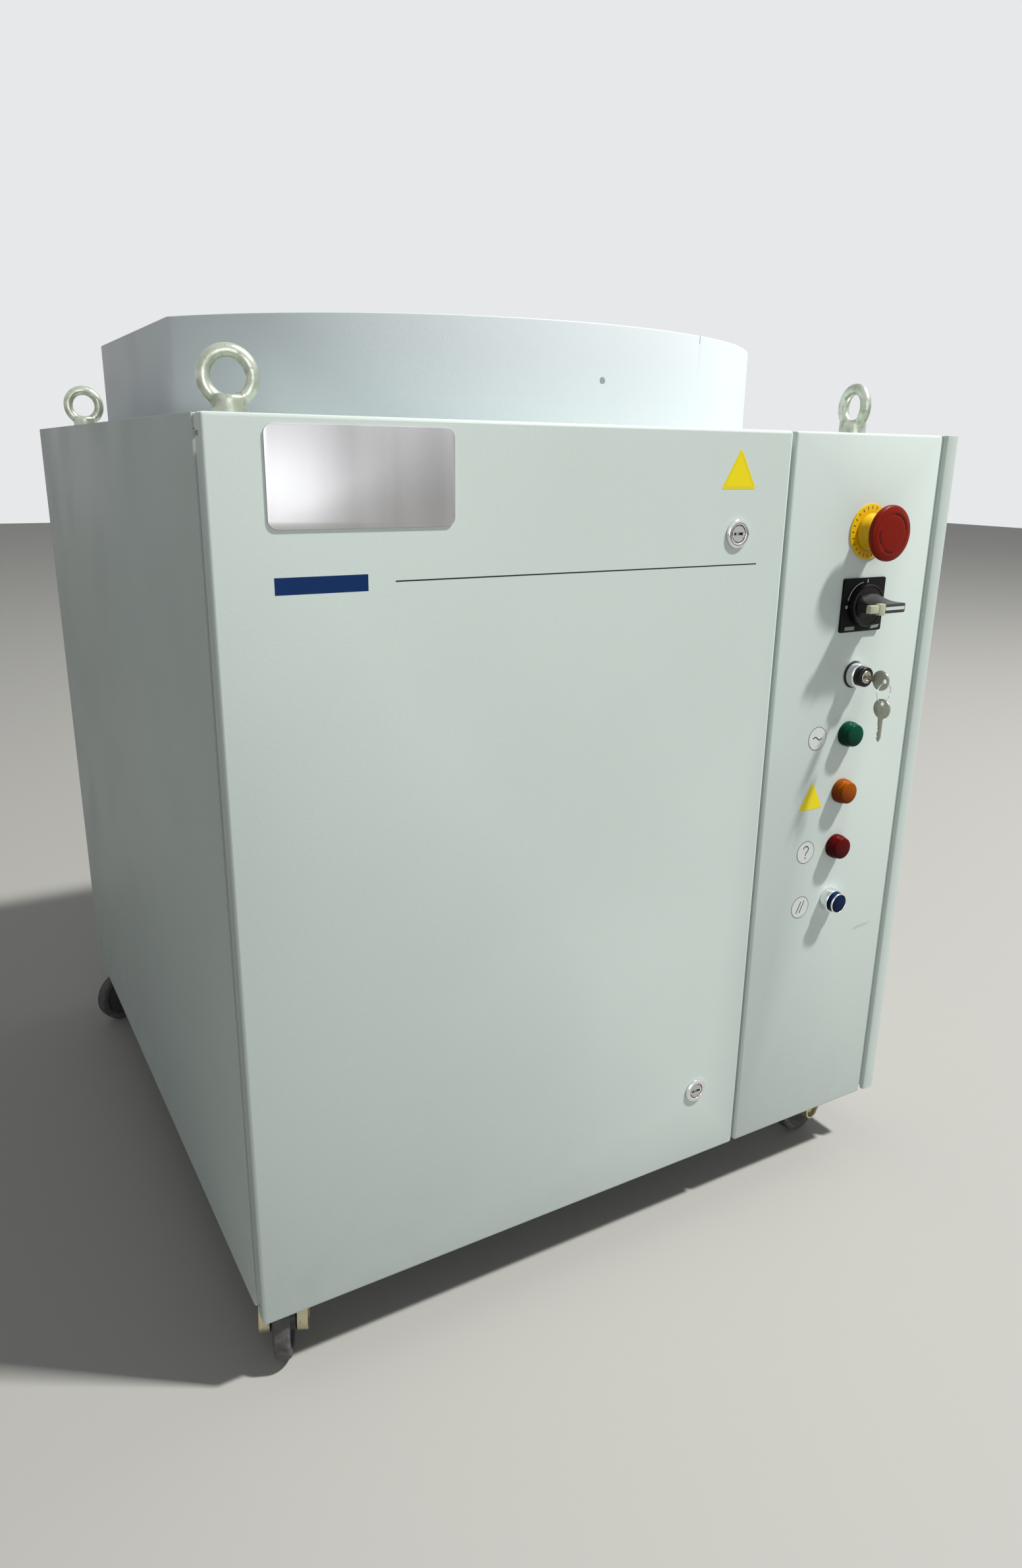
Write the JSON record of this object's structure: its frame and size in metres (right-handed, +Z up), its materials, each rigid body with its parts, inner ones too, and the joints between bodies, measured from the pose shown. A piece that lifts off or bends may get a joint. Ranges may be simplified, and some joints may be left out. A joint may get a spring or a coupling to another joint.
{
  "type": "fiber laser source cabinet",
  "caption": "Mobile fiber laser source cabinet with a hinged front door, a control column, a cable collar on top, lifting eyes and swivel casters.",
  "frame": {"origin": "on the floor under the middle of the outer box", "axes": "+X to the right seen from the front, +Y to the rear, +Z up"},
  "size_m": [0.879, 1.0018, 1.0283],
  "materials": {
    "powder_coat": "fine powder coat, light grey white",
    "frame_paint": "grey paint",
    "caster_zinc": "yellow zinc plated pressed steel",
    "eye_zinc": "galvanised forging",
    "chrome": "polished",
    "steel": "brushed",
    "module_case": "satin",
    "dark_case": "satin dark grey",
    "black_plastic": "satin",
    "grey_plastic": "satin",
    "cream_plastic": "satin",
    "yellow_plastic": "satin",
    "red_plastic": "semi gloss",
    "wheel_rubber": "dark grey",
    "green_lens": "clear coloured",
    "orange_lens": "clear coloured",
    "red_lens": "clear coloured",
    "blue_lens": "clear coloured"
  },
  "bodies": {
    "cabinet": {"base_frame": "frame_paint", "beam_combiner": "dark_case", "cable_collar": "powder_coat", "cable_gland": "chrome", "centre_post": "frame_paint", "control_panel": "powder_coat", "control_unit": "dark_case", "estop_body": "yellow_plastic", "estop_legend": "yellow_plastic", "front_left_eyebolt": "eye_zinc", "front_left_post": "frame_paint", "front_right_eyebolt": "eye_zinc", "front_right_post": "frame_paint", "green_lamp": "green_lens", "key_switch": "black_plastic", "left_side_panel": "powder_coat", "lower_hinge_bracket": "steel", "lower_laser_module": "module_case", "mains_gland": "grey_plastic", "middle_laser_module": "module_case", "module_rack": "steel", "orange_lamp": "orange_lens", "power_supply": "dark_case", "rear_left_eyebolt": "eye_zinc", "rear_left_post": "frame_paint", "rear_panel": "powder_coat", "rear_right_eyebolt": "eye_zinc", "rear_right_post": "frame_paint", "red_lamp": "red_lens", "reset_bezel": "chrome", "right_side_panel": "powder_coat", "switch_body": "grey_plastic", "switch_plate": "black_plastic", "top_plate": "powder_coat", "upper_hinge_bracket": "steel", "upper_laser_module": "module_case", "water_manifold": "steel"},
    "door": {"door_panel": "powder_coat", "name_plate": "steel", "lower_lock_housing": "chrome", "upper_lock_housing": "chrome"},
    "upper_lock": {"upper_lock_cam": "black_plastic"},
    "lower_lock": {"lower_lock_cam": "black_plastic"},
    "estop_stem": {"estop_stem": "steel"},
    "estop_head": {"estop_head": "red_plastic"},
    "switch_handle": {"switch_handle": "black_plastic"},
    "padlock_tab": {"padlock_tab": "cream_plastic"},
    "key": {"key": "steel"},
    "key_ring": {"key_ring": "chrome"},
    "spare_key": {"spare_key": "steel"},
    "reset_button": {"reset_button": "blue_lens"},
    "front_left_fork": {"front_left_fork": "caster_zinc"},
    "front_left_wheel": {"front_left_wheel": "wheel_rubber"},
    "front_right_fork": {"front_right_fork": "caster_zinc"},
    "front_right_wheel": {"front_right_wheel": "wheel_rubber"},
    "rear_left_fork": {"rear_left_fork": "caster_zinc"},
    "rear_left_wheel": {"rear_left_wheel": "wheel_rubber"},
    "rear_right_fork": {"rear_right_fork": "caster_zinc"},
    "rear_right_wheel": {"rear_right_wheel": "wheel_rubber"}
  },
  "joints": [
    {"name": "door_hinge", "type": "hinge", "parent": "cabinet", "child": "door", "pos_m": [-0.40847, -0.43207, 0.08], "axis": [0, 0, -1], "range_deg": [0, 110]},
    {"name": "upper_lock_turn", "type": "hinge", "parent": "door", "child": "upper_lock", "pos_m": [0.11753, -0.44307, 0.829], "axis": [0, -1, 0], "range_deg": [0, 90]},
    {"name": "lower_lock_turn", "type": "hinge", "parent": "door", "child": "lower_lock", "pos_m": [0.11753, -0.44307, 0.177], "axis": [0, 1, 0], "range_deg": [0, 90]},
    {"name": "estop_push", "type": "slide", "parent": "cabinet", "child": "estop_stem", "axis": [0, 1, 0], "range_m": [0, 0.005], "stiffness_N_per_m": 2000},
    {"name": "estop_twist", "type": "hinge", "parent": "estop_stem", "child": "estop_head", "pos_m": [0.30953, -0.44307, 0.827], "axis": [0, 1, 0], "range_deg": [0, 35], "stiffness_Nm_per_rad": 0.2},
    {"name": "switch_turn", "type": "hinge", "parent": "cabinet", "child": "switch_handle", "pos_m": [0.30953, -0.44307, 0.747], "axis": [0, 1, 0], "range_deg": [0, 90]},
    {"name": "padlock_tab_slide", "type": "slide", "parent": "switch_handle", "child": "padlock_tab", "axis": [-1, 0, 0], "range_m": [0, 0.008]},
    {"name": "key_turn", "type": "hinge", "parent": "cabinet", "child": "key", "pos_m": [0.30953, -0.44307, 0.667], "axis": [0, 1, 0], "range_deg": [0, 45]},
    {"name": "ring_swing", "type": "hinge", "parent": "key", "child": "key_ring", "pos_m": [0.30953, -0.48957, 0.66533], "axis": [-1, 0, 0], "range_deg": [-10, 70]},
    {"name": "spare_key_swing", "type": "hinge", "parent": "key_ring", "child": "spare_key", "pos_m": [0.30953, -0.48957, 0.6436], "axis": [-1, 0, 0], "range_deg": [-5, 60]},
    {"name": "reset_push", "type": "slide", "parent": "cabinet", "child": "reset_button", "axis": [0, 1, 0], "range_m": [0, 0.004], "stiffness_N_per_m": 1500},
    {"name": "front_left_swivel", "type": "hinge", "parent": "cabinet", "child": "front_left_fork", "pos_m": [-0.37347, -0.37307, 0.08], "axis": [0, 0, 1], "continuous": true},
    {"name": "front_left_roll", "type": "hinge", "parent": "front_left_fork", "child": "front_left_wheel", "pos_m": [-0.38441, -0.39884, 0.04], "axis": [0.9205, -0.3907, 0], "continuous": true},
    {"name": "front_right_swivel", "type": "hinge", "parent": "cabinet", "child": "front_right_fork", "pos_m": [0.39553, -0.37307, 0.08], "axis": [0, 0, 1], "continuous": true},
    {"name": "front_right_roll", "type": "hinge", "parent": "front_right_fork", "child": "front_right_wheel", "pos_m": [0.36795, -0.37793, 0.04], "axis": [0.1736, -0.9848, 0], "continuous": true},
    {"name": "rear_left_swivel", "type": "hinge", "parent": "cabinet", "child": "rear_left_fork", "pos_m": [-0.37347, 0.40293, 0.08], "axis": [0, 0, 1], "continuous": true},
    {"name": "rear_left_roll", "type": "hinge", "parent": "rear_left_fork", "child": "rear_left_wheel", "pos_m": [-0.39943, 0.39244, 0.04], "axis": [0.3746, -0.9272, 0], "continuous": true},
    {"name": "rear_right_swivel", "type": "hinge", "parent": "cabinet", "child": "rear_right_fork", "pos_m": [0.39553, 0.40293, 0.08], "axis": [0, 0, 1], "continuous": true},
    {"name": "rear_right_roll", "type": "hinge", "parent": "rear_right_fork", "child": "rear_right_wheel", "pos_m": [0.38153, 0.42718, 0.04], "axis": [-0.866, -0.5, 0], "continuous": true}
  ]
}
